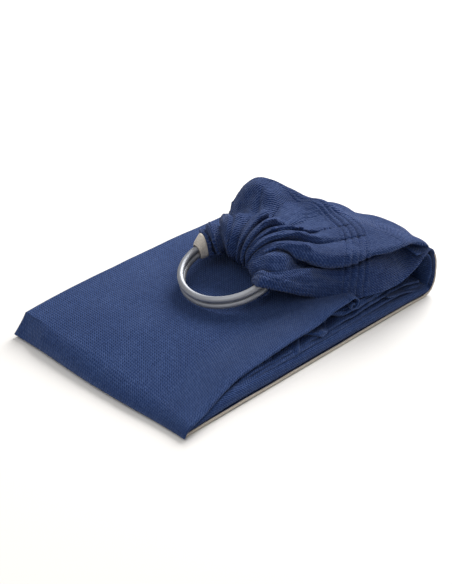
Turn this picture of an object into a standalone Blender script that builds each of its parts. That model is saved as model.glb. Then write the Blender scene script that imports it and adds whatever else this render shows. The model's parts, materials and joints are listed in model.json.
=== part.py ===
"""A ring sling for carrying a baby, folded into a flat bundle with its two rings lying on top.

The sling is one long cloth, folded lengthwise in thirds and then to and fro in lengths. Each
folded length, fold and pleat of it is a solid of its own here. X runs along the bundle, Y
across it and Z up; the origin is under the middle of the bundle, on the surface it lies on.
Metres throughout.
"""

import math

import bmesh
import bpy
from mathutils import Matrix, Vector

GAP = 0.0004

# The bundle.
HALF_LENGTH = 0.1570
HALF_WIDTH = 0.1030
HINGE_X = 0.1245
FOLD_HEIGHT = 0.0605
LEFT_END_X = -0.1485
LENGTH_COUNT = 3
BOTTOM_TOP = 0.0080
INNER_STACK_TOP = 0.0205
TOP_LENGTH_END_X = 0.0940
TOP_LENGTH_TOP = 0.0265

# The rings: aluminium, 3 inches across the inside.
RING_INNER_DIAMETER = 0.0762
RING_WIRE = 0.0060
RING_CENTRE = Vector((-0.0045, 0.0005, 0.0450))
RING_TILT = math.radians(16.6)
RING_SPACING = 0.0066
RING_SEGMENTS = 48
RING_SIDES = 12

# The gather, from the rings to the four rows of stitching.
NECK_X = 0.0500
NECK_TOP = 0.0680
GATHER_END_X = 0.0945
NECK_HALF_WIDTH = 0.0620
GATHER_HALF_WIDTH = 0.0960
GATHER_UNDERSIDE = 0.0285

# Trim.
STITCH_ROWS = 4
STITCH_PITCH = 0.0055
STITCH_FIRST_X = 0.0990
STITCH_THREAD = 0.0008
BINDING_DEPTH = 0.0012
BINDING_HEIGHT = 0.0024
BINDING_Z = 0.0035

NAVY = (0.045, 0.078, 0.180, 1.0)
CREAM = (0.600, 0.540, 0.460, 1.0)
ALUMINIUM = (0.560, 0.580, 0.610, 1.0)


def clear_scene():
    for old in list(bpy.data.objects):
        bpy.data.objects.remove(old, do_unlink=True)


def material(name, colour, roughness, metallic=0.0):
    """A Principled BSDF material, made once and then shared by name."""
    found = bpy.data.materials.get(name)
    if found:
        return found
    made = bpy.data.materials.new(name)
    made.use_nodes = True
    shader = made.node_tree.nodes["Principled BSDF"]
    shader.inputs["Base Color"].default_value = colour
    shader.inputs["Roughness"].default_value = roughness
    shader.inputs["Metallic"].default_value = metallic
    return made


def cloth():
    return material("navy_cloth", NAVY, 0.90)


def binding_tape():
    return material("cream_binding", CREAM, 0.80)


def thread():
    return material("navy_thread", NAVY, 0.70)


def aluminium():
    return material("satin_aluminium", ALUMINIUM, 0.35, 1.0)


def add_object(name, mesh_data, finish):
    solid = bpy.data.objects.new(name, mesh_data)
    mesh_data.materials.append(finish)
    mesh_data.shade_smooth()
    mesh_data.set_sharp_from_angle(angle=math.radians(40))
    bpy.context.scene.collection.objects.link(solid)
    return solid


def mesh_from_faces(name, points, faces):
    """A mesh with its normals turned outwards."""
    shape = bmesh.new()
    corners = [shape.verts.new(point) for point in points]
    for face in faces:
        shape.faces.new([corners[index] for index in face])
    bmesh.ops.recalc_face_normals(shape, faces=shape.faces)
    made = bpy.data.meshes.new(name)
    shape.to_mesh(made)
    shape.free()
    return made


def grid_solid(name, finish, upper, lower, steps_u, steps_v):
    """A closed solid between two sheets, each a function of u and v from 0 to 1."""
    rows = steps_u + 1
    columns = steps_v + 1
    sheets = (upper, lower)
    points = [
        sheet(u / steps_u, v / steps_v) for sheet in sheets for u in range(rows) for v in range(columns)
    ]
    below = rows * columns

    def corner(u, v):
        return u * columns + v

    faces = []
    for u in range(steps_u):
        for v in range(steps_v):
            quad = (corner(u, v), corner(u + 1, v), corner(u + 1, v + 1), corner(u, v + 1))
            faces.append(quad)
            faces.append(tuple(below + index for index in reversed(quad)))
    rim = [corner(u, 0) for u in range(steps_u)]
    rim += [corner(steps_u, v) for v in range(steps_v)]
    rim += [corner(u, steps_v) for u in range(steps_u, 0, -1)]
    rim += [corner(0, v) for v in range(steps_v, 0, -1)]
    for here, after in zip(rim, rim[1:] + rim[:1]):
        faces.append((here, after, below + after, below + here))
    return add_object(name, mesh_from_faces(name, points, faces), finish)


def mix(start, end, part):
    return start + (end - start) * part


def smooth(part):
    part = min(max(part, 0.0), 1.0)
    return part * part * (3.0 - 2.0 * part)


def round_edge(part, share):
    """0 at both ends of 0 to 1, rising to 1 along a quarter circle that takes up this share."""
    inward = min(part, 1.0 - part) / share
    if inward >= 1.0:
        return 1.0
    return math.sqrt(1.0 - (1.0 - inward) ** 2)


# ---------------------------------------------------------------- the bundle of folded lengths


def bundle_height(x):
    """How high the pile of lengths stands at x: lower at the left, where it is pressed flat."""
    return mix(0.72, 1.0, smooth((x + 0.155) / 0.110))


def folded_length(name, start_x, end_x, low, high, half_width, flat_under=False):
    """One length of the folded cloth, lying flat, with rounded long sides."""
    middle = (low + high) / 2.0
    edge_share = 0.035

    def point(u, v, level):
        x = mix(start_x, end_x, u)
        edge = round_edge(v, edge_share)
        z = mix(middle, level, 0.25 + 0.75 * edge)
        if not (flat_under and level == low):
            z *= bundle_height(x)
        else:
            z = level
        return (x, mix(-half_width, half_width, v), z)

    def upper(u, v):
        return point(u, v, high)

    def lower(u, v):
        return point(u, v, low)

    return grid_solid(name, cloth(), upper, lower, 8, 10)


def left_fold():
    """The rounded end where the bottom length turns up and over into the top length."""
    steps = 8

    def point(u, v, inset):
        turn = math.pi * u
        z_middle = TOP_LENGTH_TOP * bundle_height(LEFT_END_X) / 2.0
        reach = HALF_LENGTH + LEFT_END_X - GAP - inset
        height = z_middle - inset
        x = LEFT_END_X - GAP - max(reach, 0.0) * math.sin(turn)
        return (x, mix(-HALF_WIDTH, HALF_WIDTH, v), z_middle - height * math.cos(turn))

    def outside(u, v):
        return point(u, v, 0.0)

    def inside(u, v):
        return point(u, v, 0.0030)

    return grid_solid("left_fold", cloth(), outside, inside, steps, 4)


def right_fold_point(turn, inset, y):
    """A point of the right end's turn: turn 0 is under the bundle, pi is on top of it."""
    squareness = 2.0 / 2.5
    reach = HALF_LENGTH - HINGE_X - inset
    height = FOLD_HEIGHT / 2.0 - inset
    x = HINGE_X + reach * abs(math.sin(turn)) ** squareness
    swing = math.copysign(abs(math.cos(turn)) ** squareness, math.cos(turn))
    return (x, y, FOLD_HEIGHT / 2.0 - height * swing)


def right_fold_ply(name, inset, thickness, half_width):
    """One ply of the open turn at the right end, from the bottom length up to the shoulder."""

    def outside(u, v):
        return right_fold_point(math.pi * u, inset, mix(-half_width, half_width, v))

    def inside(u, v):
        return right_fold_point(math.pi * u, inset + thickness, mix(-half_width, half_width, v))

    return grid_solid(name, cloth(), outside, inside, 14, 2)


def rail_binding(name, side_y, depth, end_turn):
    """The cream tape on the cloth's edge, along the bundle and part of the way round the turn."""
    straight_steps = 6
    turn_steps = 10
    inset = BINDING_Z - BINDING_HEIGHT / 2.0

    def path(u, extra):
        step = u * (straight_steps + turn_steps)
        if step <= straight_steps:
            x = mix(LEFT_END_X, HINGE_X, step / straight_steps)
            return (x, inset + extra)
        turn = end_turn * (step - straight_steps) / turn_steps
        x, _, z = right_fold_point(turn, inset + extra, 0.0)
        return (x, z)

    def outside(u, v):
        x, z = path(u, 0.0)
        return (x, side_y + depth * v, z)

    def inside(u, v):
        x, z = path(u, BINDING_HEIGHT)
        return (x, side_y + depth * v, z)

    return grid_solid(name, binding_tape(), outside, inside, straight_steps + turn_steps, 1)


def flat_strip(name, finish, low_corner, high_corner):
    """A thin flat strip lying along X or Y between two corners."""

    def point(u, v, z):
        x = mix(low_corner[0], high_corner[0], u)
        return (x, mix(low_corner[1], high_corner[1], v), z * bundle_height(x))

    def upper(u, v):
        return point(u, v, high_corner[2])

    def lower(u, v):
        return point(u, v, low_corner[2])

    return grid_solid(name, finish, upper, lower, 8, 1)


def bundle():
    folded_length("bottom_length", LEFT_END_X, HINGE_X - GAP, 0.0, BOTTOM_TOP, HALF_WIDTH, flat_under=True)
    left_fold()
    binding_room = 0.0016
    start = BOTTOM_TOP + binding_room
    pitch = (INNER_STACK_TOP - start) / LENGTH_COUNT
    for index in range(LENGTH_COUNT):
        low = start + index * pitch
        high = low + pitch - GAP
        ends = (LEFT_END_X + 0.006 + 0.003 * index, TOP_LENGTH_END_X - 0.004 + 0.002 * index)
        half_width = HALF_WIDTH - 0.0035 - 0.0015 * index
        folded_length(f"inner_length_{index + 1}", ends[0], ends[1], low, high, half_width)
    top_low = INNER_STACK_TOP + 0.0004
    folded_length("top_length", LEFT_END_X, TOP_LENGTH_END_X, top_low, TOP_LENGTH_TOP, HALF_WIDTH - 0.0010)
    tail_low = start + 2.0 * pitch
    flat_strip(
        "tail_hem",
        cloth(),
        (TOP_LENGTH_END_X + GAP, -0.0900, tail_low),
        (TOP_LENGTH_END_X + 0.0100, 0.0900, tail_low + pitch - GAP),
    )
    right_fold_ply("right_fold_outer_ply", 0.0, 0.0030, HALF_WIDTH)
    right_fold_ply("right_fold_inner_ply", 0.0034, 0.0026, HALF_WIDTH - 0.0020)
    front = -HALF_WIDTH - GAP
    rail_binding("front_rail_binding", front - BINDING_DEPTH, BINDING_DEPTH, 0.62 * math.pi)
    flat_strip(
        "inner_rail_binding",
        binding_tape(),
        (LEFT_END_X + 0.012, 0.0820, BOTTOM_TOP + GAP),
        (TOP_LENGTH_END_X, 0.0940, BOTTOM_TOP + binding_room - GAP),
    )


# ---------------------------------------------------------------- the shoulder and its pleats


def hump(y):
    """How far the big lobe of the gather stands up over the rest of it, 0 to 1 across Y."""
    return math.exp(-(((y - 0.0480) / 0.0260) ** 2))


def shoulder_top(x, y):
    """The upper surface of the shoulder cloth between the stitching and the turn."""
    back = (HINGE_X - x) / (HINGE_X - GATHER_END_X)
    edges = smooth((HALF_WIDTH - abs(y)) / 0.0450)
    crown = mix(-0.0040, 0.0045, edges)
    rise = back * (crown + 0.0190 * hump(y))
    return FOLD_HEIGHT - 0.0004 + rise


def shoulder_panel():
    thickness = 0.0055

    def surface(u, v, drop):
        x = mix(GATHER_END_X + GAP, HINGE_X - GAP, u)
        y = mix(-1.0, 1.0, v) * mix(GATHER_HALF_WIDTH, HALF_WIDTH - 0.0020, u)
        return (x, y, shoulder_top(x, y) - drop)

    def upper(u, v):
        return surface(u, v, 0.0)

    def lower(u, v):
        return surface(u, v, thickness)

    return grid_solid("shoulder_panel", cloth(), upper, lower, 5, 20)


def stitch_row(index):
    """A row of topstitching across the shoulder, through both plies of the turned-back cloth."""
    middle_x = STITCH_FIRST_X + index * STITCH_PITCH
    lift = 0.0005

    def surface(u, v, level):
        x = middle_x + (u - 0.5) * STITCH_THREAD
        y = mix(-0.0900, 0.0900, v)
        return (x, y, shoulder_top(x, y) + level)

    def upper(u, v):
        return surface(u, v, lift + STITCH_THREAD)

    def lower(u, v):
        return surface(u, v, lift)

    return grid_solid(f"shoulder_stitch_row_{index + 1}", thread(), upper, lower, 1, 40)


# Each pleat from the front of the bundle to its back: its name, the share of the width where it
# ends, and its height at the neck and at the stitching.
PLEATS = (
    ("front_flap", 0.15, 0.0460, 0.0520),
    ("front_pleat", 0.33, 0.0600, 0.0650),
    ("middle_pleat_front", 0.50, 0.0640, 0.0680),
    ("middle_pleat_back", 0.65, 0.0660, 0.0740),
    ("hump_lobe", 0.86, 0.0680, 0.0860),
    ("back_flap", 1.00, 0.0480, 0.0560),
)


def pleat(name, from_share, to_share, neck_top, end_top):
    """One pleat of the gather: a rounded ridge that widens from the neck to the stitching."""

    def across(u, v):
        half = mix(NECK_HALF_WIDTH, GATHER_HALF_WIDTH, u)
        share = mix(from_share, to_share, v)
        left = GAP / 2.0 if v == 0.0 else 0.0
        right = GAP / 2.0 if v == 1.0 else 0.0
        return mix(-half, half, share) + left - right

    def upper(u, v):
        ridge = 0.55 + 0.45 * round_edge(v, 0.5)
        top = mix(neck_top, end_top, smooth(u))
        return (mix(NECK_X + GAP, GATHER_END_X, u), across(u, v), mix(GATHER_UNDERSIDE, top, ridge))

    def lower(u, v):
        return (mix(NECK_X + GAP, GATHER_END_X, u), across(u, v), GATHER_UNDERSIDE)

    return grid_solid(name, cloth(), upper, lower, 5, 8)


def shoulder():
    shoulder_panel()
    for index in range(STITCH_ROWS):
        stitch_row(index)
    from_share = 0.0
    for name, to_share, neck_top, end_top in PLEATS:
        pleat(name, from_share, to_share, neck_top, end_top)
        from_share = to_share


# ---------------------------------------------------------------- the rings and their sleeve


def ring_frame():
    """The rings' own frame: their axis is its Z, and they rise towards the gather."""
    return Matrix.Translation(RING_CENTRE) @ Matrix.Rotation(-RING_TILT, 4, "Y")


def ring(name, offset):
    wire_radius = RING_WIRE / 2.0
    bpy.ops.mesh.primitive_torus_add(
        major_radius=RING_INNER_DIAMETER / 2.0 + wire_radius,
        minor_radius=wire_radius,
        major_segments=RING_SEGMENTS,
        minor_segments=RING_SIDES,
    )
    made = bpy.context.active_object
    made.name = name
    made.data.name = name
    made.data.materials.append(aluminium())
    made.data.shade_smooth()
    made.matrix_world = ring_frame() @ Matrix.Translation((0.0, 0.0, offset))
    return made


def sleeve(name, finish, start, end, steps, outline):
    """Cloth turned round both rings along an arc, with the channel that the rings run in.

    outline(part) gives the sleeve's inner and outer radius and half its height, at that part of
    the arc.
    """
    sides = 20
    wire_middle = (RING_INNER_DIAMETER + RING_WIRE) / 2.0
    clearance = 0.0006
    channel_half_width = RING_WIRE / 2.0 + clearance
    channel_half_height = (RING_SPACING + RING_WIRE) / 2.0 + clearance
    place = ring_frame()

    def loop(part, radii, half_height, squareness):
        """One closed outline round the wire, in the plane across the arc."""
        angle = mix(start, end, part)
        middle = (radii[0] + radii[1]) / 2.0
        half = (radii[1] - radii[0]) / 2.0
        points = []
        for side in range(sides):
            turn = 2.0 * math.pi * (side + 0.5) / sides
            out = math.copysign(abs(math.cos(turn)) ** squareness, math.cos(turn))
            up = math.copysign(abs(math.sin(turn)) ** squareness, math.sin(turn))
            radius = middle + half * out
            local = Vector((radius * math.cos(angle), radius * math.sin(angle), half_height * up))
            points.append(tuple(place @ local))
        return points

    channel = (wire_middle - channel_half_width, wire_middle + channel_half_width)
    points = []
    for step in range(steps + 1):
        part = step / steps
        inner_radius, outer_radius, half_height = outline(part)
        points += loop(part, (inner_radius, outer_radius), half_height, 0.75)
        points += loop(part, channel, channel_half_height, 0.45)

    def corner(step, layer, side):
        return step * 2 * sides + layer * sides + side % sides

    faces = []
    for step in range(steps):
        for layer in (0, 1):
            for side in range(sides):
                faces.append(
                    (
                        corner(step, layer, side),
                        corner(step, layer, side + 1),
                        corner(step + 1, layer, side + 1),
                        corner(step + 1, layer, side),
                    )
                )
    for step in (0, steps):
        for side in range(sides):
            faces.append(
                (
                    corner(step, 0, side),
                    corner(step, 0, side + 1),
                    corner(step, 1, side + 1),
                    corner(step, 1, side),
                )
            )
    return add_object(name, mesh_from_faces(name, points, faces), finish)


def ring_sleeve():
    def outline(part):
        middle = math.sin(math.pi * part) ** 0.5
        return (mix(0.0335, 0.0260, middle), mix(0.0485, 0.0515, middle), mix(0.0090, 0.0118, middle))

    return sleeve("ring_sleeve", cloth(), math.radians(-96.0), math.radians(74.0), 22, outline)


def sleeve_binding():
    def outline(part):
        return (0.0340, 0.0482, 0.0092)

    return sleeve("sleeve_binding", binding_tape(), math.radians(75.0), math.radians(86.0), 3, outline)


def neck_fold(name, side):
    """Cloth that runs from one side of the rings to the neck, outside the sleeve."""
    inner_y = RING_CENTRE.y + side * 0.0525
    outer_y = side * 0.0700
    low = 0.0290
    neck_high = 0.0520

    def point(u, v, z):
        outer = mix(inner_y + side * 0.0120, outer_y, u)
        return (mix(0.0020, NECK_X - GAP, u), mix(inner_y, outer, v), z)

    def upper(u, v):
        return point(u, v, mix(low, mix(0.0420, neck_high, u), 0.4 + 0.6 * round_edge(v, 0.5)))

    def lower(u, v):
        return point(u, v, low)

    return grid_solid(name, cloth(), upper, lower, 4, 8)


def ring_gather():
    ring_sleeve()
    sleeve_binding()
    neck_fold("neck_fold_front", -1.0)
    neck_fold("neck_fold_back", 1.0)
    ring("ring_upper", RING_SPACING / 2.0)
    ring("ring_lower", -RING_SPACING / 2.0)


def main():
    clear_scene()
    bundle()
    shoulder()
    ring_gather()


main()
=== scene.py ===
import json
import math

import bpy
import numpy as np
from mathutils import Matrix, Vector, noise


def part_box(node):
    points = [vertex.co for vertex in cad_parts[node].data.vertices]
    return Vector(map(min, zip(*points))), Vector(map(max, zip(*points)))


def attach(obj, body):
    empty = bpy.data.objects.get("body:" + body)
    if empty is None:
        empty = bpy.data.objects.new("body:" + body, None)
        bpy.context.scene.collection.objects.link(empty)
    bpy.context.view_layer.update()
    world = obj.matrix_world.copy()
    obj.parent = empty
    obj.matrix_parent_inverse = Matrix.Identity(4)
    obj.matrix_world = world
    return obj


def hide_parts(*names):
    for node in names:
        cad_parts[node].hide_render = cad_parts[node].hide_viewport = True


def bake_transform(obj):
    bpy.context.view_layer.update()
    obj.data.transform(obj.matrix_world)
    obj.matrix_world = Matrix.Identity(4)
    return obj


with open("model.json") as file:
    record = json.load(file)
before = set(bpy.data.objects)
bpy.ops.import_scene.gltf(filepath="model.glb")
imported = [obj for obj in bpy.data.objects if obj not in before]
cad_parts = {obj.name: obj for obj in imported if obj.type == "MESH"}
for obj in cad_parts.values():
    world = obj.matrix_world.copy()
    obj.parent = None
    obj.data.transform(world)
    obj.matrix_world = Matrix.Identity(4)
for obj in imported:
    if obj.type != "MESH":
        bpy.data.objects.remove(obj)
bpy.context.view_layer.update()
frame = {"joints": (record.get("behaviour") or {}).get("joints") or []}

# ------------------------------------------------------------------ sizes, in metres
#
# X runs along the bundle to the open turn at its right end, Y across it to the back, Z up.

MM = 0.001

HALF_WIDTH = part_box("bottom_length")[1][1]
LEFT_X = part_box("left_fold")[0][0]
TOP_LENGTH_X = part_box("top_length")[1][0]

joints = {joint["name"]: joint for joint in frame["joints"]}
RING_CENTRE = Vector(joints["ring_upper_turn"]["pos_m"])
RING_AXIS = Vector(joints["ring_upper_turn"]["axis"]).normalized()
RING_SIDE = Vector((0, 1, 0))
RING_OUT = RING_SIDE.cross(RING_AXIS).normalized()

RING_WIRE_RADIUS = 0.0030
RING_MIDDLE_RADIUS = 0.0411

TOP_THICKNESS = 0.0014
PLY_THICKNESS = 0.0008
LINING_THICKNESS = 0.0011
GATHER_THICKNESS = 0.0012

TINY = 1e-12
NOISE_SEED_STEP = 17.3


# ------------------------------------------------------------------ small helpers


def mix(a, b, t):
    """The value that lies a share t of the way from a to b."""
    return a + (b - a) * t


def smooth(t):
    """Rises from 0 to 1 as t does, level at both ends."""
    t = np.clip(t, 0.0, 1.0)
    return t * t * (3.0 - 2.0 * t)


def unit(vectors):
    return vectors / np.maximum(np.linalg.norm(vectors, axis=-1, keepdims=True), TINY)


def spline(xs, ys, x):
    """A smooth curve through a few points: cubic pieces, with the mean of the slopes at each point."""
    xs = np.asarray(xs, float)
    ys = np.asarray(ys, float)
    x = np.clip(x, xs[0], xs[-1])
    step = np.diff(xs)
    slope = np.diff(ys, axis=0) / (step[:, None] if ys.ndim > 1 else step)
    tangent = np.zeros_like(ys)
    tangent[0] = slope[0]
    tangent[-1] = slope[-1]
    tangent[1:-1] = (slope[:-1] + slope[1:]) / 2.0
    i = np.clip(np.searchsorted(xs, x, side="right") - 1, 0, len(xs) - 2)
    h = step[i]
    t = (x - xs[i]) / h
    if ys.ndim > 1:
        t = t[..., None]
        h = h[..., None]
    h00 = 2 * t**3 - 3 * t**2 + 1
    h10 = t**3 - 2 * t**2 + t
    h01 = -2 * t**3 + 3 * t**2
    h11 = t**3 - t**2
    return h00 * ys[i] + h10 * h * tangent[i] + h01 * ys[i + 1] + h11 * h * tangent[i + 1]


def roughen(points, size, depth, seed):
    """Smooth noise at each point of an array, about -depth to +depth, with waves of about size."""
    flat = points.reshape(-1, 3) / size + seed * NOISE_SEED_STEP
    values = [noise.noise(Vector(p)) for p in flat]
    return depth * np.array(values).reshape(points.shape[:-1])


def squared_circle(turn, power):
    """Cosine and sine of an angle, each pushed outward: a circle with flatter sides."""
    cosine = math.cos(turn)
    sine = math.sin(turn)
    return math.copysign(abs(cosine) ** power, cosine), math.copysign(abs(sine) ** power, sine)


def surface_normals(grid):
    return unit(np.cross(np.gradient(grid, axis=0), np.gradient(grid, axis=1)))


def closed_normals(grid):
    """The normals of a tube's grid, whose last column is next to its first."""
    wrapped = np.concatenate([grid[:, -1:], grid, grid[:, :1]], axis=1)
    return surface_normals(wrapped)[:, 1:-1]


def lengths_along(grid, axis=0):
    """Distance along a line of points, or along a grid of them, from 0 at its start."""
    step = np.linalg.norm(np.diff(grid, axis=axis), axis=-1)
    if step.ndim > 1:
        step = step.mean(axis=1 - axis)
    return np.concatenate([[0.0], np.cumsum(step)])


def row_at(x, y, z):
    """A row of points, one for each y, from sizes in mm."""
    return np.stack(np.broadcast_arrays(x, y, z), axis=-1) * MM


def loft(rows, knots, places):
    """A grid that runs smoothly through rows of points, at the given places between their knots."""
    return np.stack([spline(knots, rows[:, j], places) for j in range(rows.shape[1])], axis=1)


# ------------------------------------------------------------------ meshes


def grid_weave(grid, start=0.0):
    """The weave's own coordinates on a grid: the distances along it and across it."""
    along = lengths_along(grid, 0) + start
    across = lengths_along(grid, 1)
    return np.stack(np.meshgrid(along, across, indexing="ij"), axis=-1)


def mesh_object(name, points, faces, weave=None):
    """An object made of points and faces. The weave's coordinates become its UV map."""
    mesh = bpy.data.meshes.new(name)
    mesh.from_pydata(points.tolist(), [], faces)
    if weave is not None:
        corner = np.empty(len(mesh.loops), np.int32)
        mesh.loops.foreach_get("vertex_index", corner)
        layer = mesh.uv_layers.new(name="Weave")
        layer.data.foreach_set("uv", weave[corner].astype(np.float32).ravel())
    mesh.shade_smooth()
    made = bpy.data.objects.new(name, mesh)
    bpy.context.scene.collection.objects.link(made)
    return made


def cloth_mesh(name, grid, thickness, flip=False, weave=None):
    """A closed sheet of the given thickness, from a grid of points on its outer face."""
    rows, columns = grid.shape[:2]
    outward = surface_normals(grid) * (-1.0 if flip else 1.0)
    inner = grid - outward * thickness
    points = np.concatenate([grid.reshape(-1, 3), inner.reshape(-1, 3)])
    index = np.arange(rows * columns).reshape(rows, columns)
    corners = [index[:-1, :-1], index[1:, :-1], index[1:, 1:], index[:-1, 1:]]
    top = np.stack(corners, axis=-1).reshape(-1, 4)
    rim = np.concatenate([index[:-1, 0], index[-1, :-1], index[:0:-1, -1], index[0, :0:-1]])
    following = np.roll(rim, -1)
    walls = np.stack([rim, rim + rows * columns, following + rows * columns, following], axis=-1)
    if flip:
        top = top[:, ::-1]
        walls = walls[:, ::-1]
    under = top[:, ::-1] + rows * columns
    faces = np.concatenate([top, under, walls])
    if weave is None:
        weave = grid_weave(grid)
    weave = weave.reshape(-1, 2)
    made = mesh_object(name, points, faces.tolist(), np.concatenate([weave, weave]))
    made.data.validate()
    return made


def end_cap(ring):
    """The faces that close one end of a tube, from the numbers of its end's points in order."""
    columns = len(ring)
    faces = []
    for k in range(1, columns // 2):
        quad = [ring[k - 1], ring[k], ring[columns - 1 - k], ring[(columns - k) % columns]]
        face = list(dict.fromkeys(quad))
        if len(face) >= 3:
            faces.append(face)
    return faces


def closed_tube_mesh(name, grid):
    """A tube mesh, closed round each ring of points and capped at both ends."""
    rows, columns = grid.shape[:2]
    index = np.arange(rows * columns).reshape(rows, columns)
    after = np.roll(index, -1, axis=1)
    sides = np.stack([index[:-1], index[1:], after[1:], after[:-1]], axis=-1)
    faces = sides.reshape(-1, 4).tolist()
    faces += [face[::-1] for face in end_cap(index[0].tolist())]
    faces += end_cap(index[-1].tolist())
    return mesh_object(name, grid.reshape(-1, 3), faces, grid_weave(grid).reshape(-1, 2))


def add_piece(made, body, material, replaced=()):
    """Gives a piece its look, the body that it moves with and the CAD nodes that it stands for."""
    made.data.materials.append(material)
    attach(made, body)
    if replaced:
        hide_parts(*replaced)


# ------------------------------------------------------------------ materials


class Nodes:
    """Short names for building a node tree."""

    def __init__(self, name):
        self.material = bpy.data.materials.new(name)
        self.material.use_nodes = True
        self.tree = self.material.node_tree
        self.shader = self.tree.nodes["Principled BSDF"]

    def add(self, kind, **settings):
        node = self.tree.nodes.new(kind)
        for key, value in settings.items():
            setattr(node, key, value)
        return node

    def link(self, source, target):
        self.tree.links.new(source, target)

    def put(self, value, socket):
        if isinstance(value, (int, float)):
            socket.default_value = value
        else:
            self.link(value, socket)

    def shade(self, **values):
        """Sets or links the shader's own sockets: Base_Color stands for "Base Color"."""
        for key, value in values.items():
            socket = self.shader.inputs[key.replace("_", " ")]
            if isinstance(value, tuple):
                socket.default_value = value
            else:
                self.put(value, socket)

    def math(self, operation, a, b=0.0, clamp=False):
        node = self.add("ShaderNodeMath", operation=operation, use_clamp=clamp)
        self.put(a, node.inputs[0])
        self.put(b, node.inputs[1])
        return node.outputs[0]

    def noise(self, coordinates, scale, detail=2.0, roughness=0.5):
        node = self.add("ShaderNodeTexNoise")
        node.inputs["Scale"].default_value = scale
        node.inputs["Detail"].default_value = detail
        node.inputs["Roughness"].default_value = roughness
        self.link(coordinates, node.inputs["Vector"])
        return node.outputs["Fac"]

    def ramp(self, factor, stops):
        node = self.add("ShaderNodeValToRGB")
        elements = node.color_ramp.elements
        while len(elements) < len(stops):
            elements.new(0.5)
        for element, (place, colour) in zip(elements, stops):
            element.position = place
            element.color = (*colour, 1.0)
        self.link(factor, node.inputs["Fac"])
        return node.outputs["Color"]

    def bump(self, height, distance, strength):
        node = self.add("ShaderNodeBump")
        node.inputs["Strength"].default_value = strength
        node.inputs["Distance"].default_value = distance
        self.link(height, node.inputs["Height"])
        return node.outputs["Normal"]


def cloth_material(name, dark, middle, light, line_pitch, tick_length, relief):
    """Cotton twill: fine raised diagonal lines, broken into short ticks by the crossing thread."""
    full_turn = 2.0 * math.pi
    quarter_turn = 1.57
    n = Nodes(name)
    place = n.add("ShaderNodeUVMap", uv_map="Weave").outputs["UV"]
    drift = n.noise(place, scale=60.0)
    split = n.add("ShaderNodeSeparateXYZ")
    n.link(place, split.inputs[0])
    along, across = split.outputs[0], split.outputs[1]

    wobble = n.math("MULTIPLY", n.math("SUBTRACT", drift, 0.5), 0.0012)
    diagonal = n.math("ADD", n.math("ADD", along, across), wobble)
    line_phase = n.math("MULTIPLY", diagonal, full_turn / (line_pitch * math.sqrt(2.0)))
    line = n.math("SINE", line_phase)

    every_other_line = n.math("SIGN", n.math("SINE", n.math("MULTIPLY", line_phase, 0.5)))
    shift = n.math("MULTIPLY", every_other_line, quarter_turn)
    other_diagonal = n.math("SUBTRACT", along, across)
    tick_phase = n.math("MULTIPLY", other_diagonal, full_turn / (tick_length * math.sqrt(2.0)))
    tick = n.math("SINE", n.math("ADD", tick_phase, shift))
    weave = n.math("ADD", n.math("MULTIPLY", line, 0.62), n.math("MULTIPLY", tick, 0.38))

    fuzz = n.noise(place, scale=1400.0, detail=1.0)
    slub = n.noise(place, scale=260.0, detail=2.0)
    cloud = n.noise(place, scale=22.0, detail=3.0, roughness=0.55)
    height = n.math("ADD", weave, n.math("MULTIPLY", fuzz, 0.9))
    tone = n.math("MULTIPLY", weave, 0.16)
    for grain, share in ((fuzz, 0.55), (slub, 0.45), (cloud, 0.35)):
        tone = n.math("ADD", tone, n.math("MULTIPLY", n.math("SUBTRACT", grain, 0.5), share))
    tone = n.math("ADD", tone, 0.5, clamp=True)
    n.shade(
        Base_Color=n.ramp(tone, [(0.0, dark), (0.5, middle), (1.0, light)]),
        Roughness=0.88,
        Specular_IOR_Level=0.12,
        Sheen_Weight=0.16,
        Sheen_Roughness=0.40,
        Sheen_Tint=(0.72, 0.80, 1.0, 1.0),
        Normal=n.bump(height, relief, strength=0.75),
    )
    return n.material


def ring_material():
    """Satin anodised aluminium, with the faint drawn lines of a turned wire."""
    n = Nodes("ring_satin_aluminium")
    place = n.add("ShaderNodeTexCoord").outputs["Object"]
    fine = n.noise(place, scale=900.0, detail=3.0)
    broad = n.noise(place, scale=45.0, detail=2.0)
    tone = n.math("ADD", n.math("MULTIPLY", fine, 0.35), n.math("MULTIPLY", broad, 0.65))
    n.shade(
        Base_Color=n.ramp(tone, [(0.2, (0.33, 0.34, 0.37)), (0.8, (0.43, 0.45, 0.49))]),
        Metallic=0.80,
        Roughness=n.math("ADD", n.math("MULTIPLY", broad, 0.14), 0.46),
        Normal=n.bump(fine, distance=0.00006, strength=0.5),
    )
    return n.material


def thread_material():
    n = Nodes("navy_sewing_thread")
    place = n.add("ShaderNodeTexCoord").outputs["Object"]
    fine = n.noise(place, scale=2500.0, detail=2.0)
    n.shade(
        Base_Color=n.ramp(fine, [(0.3, (0.008, 0.022, 0.090)), (0.7, (0.022, 0.046, 0.150))]),
        Roughness=0.80,
        Specular_IOR_Level=0.20,
        Normal=n.bump(fine, distance=0.0001, strength=0.6),
    )
    return n.material


def floor_material():
    n = Nodes("studio_floor")
    place = n.add("ShaderNodeTexCoord").outputs["Object"]
    grain = n.noise(place, scale=3.0, detail=2.0)
    n.shade(
        Base_Color=n.ramp(grain, [(0.0, (0.835, 0.818, 0.797)), (1.0, (0.855, 0.838, 0.817))]),
        Roughness=0.9,
        Specular_IOR_Level=0.1,
    )
    return n.material


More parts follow.
